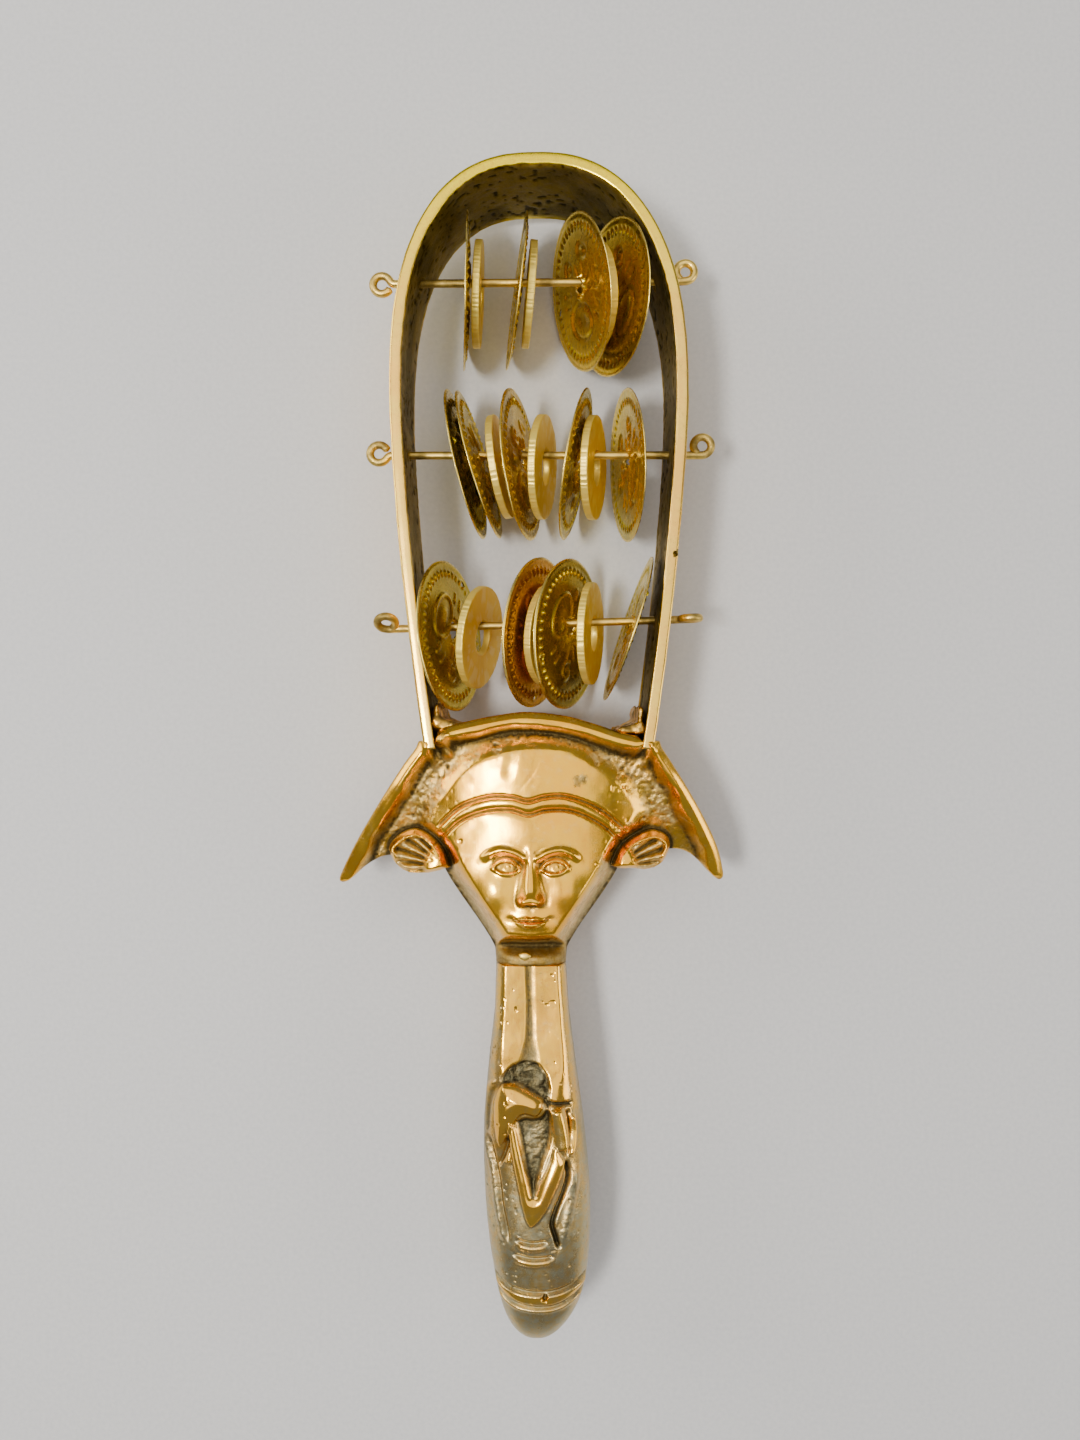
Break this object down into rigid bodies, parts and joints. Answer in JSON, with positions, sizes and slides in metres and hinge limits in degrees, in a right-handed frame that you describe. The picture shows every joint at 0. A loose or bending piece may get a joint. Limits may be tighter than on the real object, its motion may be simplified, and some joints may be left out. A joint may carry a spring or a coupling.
{
  "type": "sistrum",
  "caption": "Cast brass hand rattle: arched hoop with looped rods, sliding discs and washers, over a horned head and a club-shaped handle.",
  "frame": {"origin": "bottom centre of the whole object, lying on its back", "axes": "+X to the right, +Y from the handle towards the top of the hoop, +Z out of the front face"},
  "size_m": [0.0928, 0.2808, 0.037],
  "materials": {
    "cast_brass": "polished cast brass, dark in the recesses",
    "handle_brass": "cast brass, polished at the top and duller towards the butt",
    "wire_brass": "drawn wire, lightly tarnished",
    "disc_brass": "thin stamped sheet under a dark lacquer",
    "washer_brass": "satin turned brass with a reeded edge",
    "braze": "rough brazing metal"
  },
  "bodies": {
    "frame": {"hoop": "cast_brass", "head": "cast_brass", "handle": "handle_brass", "neck_pin": "wire_brass", "braze_left": "braze", "braze_right": "braze"},
    "rod_top": {"rod_top": "wire_brass"},
    "disc_top_1": {"disc_top_1": "disc_brass"},
    "washer_top_1": {"washer_top_1": "washer_brass"},
    "disc_top_2": {"disc_top_2": "disc_brass"},
    "washer_top_2": {"washer_top_2": "washer_brass"},
    "disc_top_3": {"disc_top_3": "disc_brass"},
    "washer_top_3": {"washer_top_3": "washer_brass"},
    "disc_top_4": {"disc_top_4": "disc_brass"},
    "rod_middle": {"rod_middle": "wire_brass"},
    "disc_middle_1": {"disc_middle_1": "disc_brass"},
    "disc_middle_2": {"disc_middle_2": "disc_brass"},
    "washer_middle_1": {"washer_middle_1": "washer_brass"},
    "disc_middle_3": {"disc_middle_3": "disc_brass"},
    "washer_middle_2": {"washer_middle_2": "washer_brass"},
    "disc_middle_4": {"disc_middle_4": "disc_brass"},
    "washer_middle_3": {"washer_middle_3": "washer_brass"},
    "disc_middle_5": {"disc_middle_5": "disc_brass"},
    "rod_lower": {"rod_lower": "wire_brass"},
    "disc_lower_1": {"disc_lower_1": "disc_brass"},
    "washer_lower_1": {"washer_lower_1": "washer_brass"},
    "disc_lower_2": {"disc_lower_2": "disc_brass"},
    "washer_lower_2": {"washer_lower_2": "washer_brass"},
    "disc_lower_3": {"disc_lower_3": "disc_brass"},
    "washer_lower_3": {"washer_lower_3": "washer_brass"},
    "disc_lower_4": {"disc_lower_4": "disc_brass"}
  },
  "joints": [
    {"name": "rod_top_spin", "type": "hinge", "parent": "frame", "child": "rod_top", "pos_m": [0, 0.1151, 0.0186], "axis": [1, -0.0035, 0], "continuous": true},
    {"name": "disc_top_1_slide", "type": "slide", "parent": "frame", "child": "disc_top_1", "axis": [1, -0.0035, 0], "range_m": [-0.00128, 0.00053]},
    {"name": "washer_top_1_slide", "type": "slide", "parent": "frame", "child": "washer_top_1", "axis": [1, -0.0035, 0], "range_m": [-0.00053, 0.00697]},
    {"name": "disc_top_2_slide", "type": "slide", "parent": "frame", "child": "disc_top_2", "axis": [1, -0.0035, 0], "range_m": [-0.00697, 0.00072]},
    {"name": "washer_top_2_slide", "type": "slide", "parent": "frame", "child": "washer_top_2", "axis": [1, -0.0035, 0], "range_m": [-0.00072, 0.00688]},
    {"name": "disc_top_3_slide", "type": "slide", "parent": "frame", "child": "disc_top_3", "axis": [1, -0.0035, 0], "range_m": [-0.00688, 0.00088]},
    {"name": "washer_top_3_slide", "type": "slide", "parent": "frame", "child": "washer_top_3", "axis": [1, -0.0035, 0], "range_m": [-0.00088, 0.00112]},
    {"name": "disc_top_4_slide", "type": "slide", "parent": "frame", "child": "disc_top_4", "axis": [1, -0.0035, 0], "range_m": [-0.00112, 0.00063]},
    {"name": "rod_middle_spin", "type": "hinge", "parent": "frame", "child": "rod_middle", "pos_m": [0, 0.0732, 0.0186], "axis": [1, -0.0087, 0], "continuous": true},
    {"name": "disc_middle_1_slide", "type": "slide", "parent": "frame", "child": "disc_middle_1", "axis": [1, -0.0087, 0], "range_m": [-0.00945, 0.00175]},
    {"name": "disc_middle_2_slide", "type": "slide", "parent": "frame", "child": "disc_middle_2", "axis": [1, -0.0087, 0], "range_m": [-0.00175, 0.00168]},
    {"name": "washer_middle_1_slide", "type": "slide", "parent": "frame", "child": "washer_middle_1", "axis": [1, -0.0087, 0], "range_m": [-0.00168, 0.00303]},
    {"name": "disc_middle_3_slide", "type": "slide", "parent": "frame", "child": "disc_middle_3", "axis": [1, -0.0087, 0], "range_m": [-0.00303, 0.00139]},
    {"name": "washer_middle_2_slide", "type": "slide", "parent": "frame", "child": "washer_middle_2", "axis": [1, -0.0087, 0], "range_m": [-0.00139, 0.00525]},
    {"name": "disc_middle_4_slide", "type": "slide", "parent": "frame", "child": "disc_middle_4", "axis": [1, -0.0087, 0], "range_m": [-0.00525, 0.00047]},
    {"name": "washer_middle_3_slide", "type": "slide", "parent": "frame", "child": "washer_middle_3", "axis": [1, -0.0087, 0], "range_m": [-0.00047, 0.00253]},
    {"name": "disc_middle_5_slide", "type": "slide", "parent": "frame", "child": "disc_middle_5", "axis": [1, -0.0087, 0], "range_m": [-0.00253, 0.00573]},
    {"name": "rod_lower_spin", "type": "hinge", "parent": "frame", "child": "rod_lower", "pos_m": [0, 0.0323, 0.0186], "axis": [0.9993, 0.0366, 0], "continuous": true},
    {"name": "disc_lower_1_slide", "type": "slide", "parent": "frame", "child": "disc_lower_1", "axis": [0.9993, 0.0366, 0], "range_m": [-0.00033, 0.00207]},
    {"name": "washer_lower_1_slide", "type": "slide", "parent": "frame", "child": "washer_lower_1", "axis": [0.9993, 0.0366, 0], "range_m": [-0.00207, 0.01138]},
    {"name": "disc_lower_2_slide", "type": "slide", "parent": "frame", "child": "disc_lower_2", "axis": [0.9993, 0.0366, 0], "range_m": [-0.01138, 0.00072]},
    {"name": "washer_lower_2_slide", "type": "slide", "parent": "frame", "child": "washer_lower_2", "axis": [0.9993, 0.0366, 0], "range_m": [-0.00072, 0.00307]},
    {"name": "disc_lower_3_slide", "type": "slide", "parent": "frame", "child": "disc_lower_3", "axis": [0.9993, 0.0366, 0], "range_m": [-0.00307, 0.00043]},
    {"name": "washer_lower_3_slide", "type": "slide", "parent": "frame", "child": "washer_lower_3", "axis": [0.9993, 0.0366, 0], "range_m": [-0.00043, 0.00288]},
    {"name": "disc_lower_4_slide", "type": "slide", "parent": "frame", "child": "disc_lower_4", "axis": [0.9993, 0.0366, 0], "range_m": [-0.00288, 0.00154]}
  ]
}
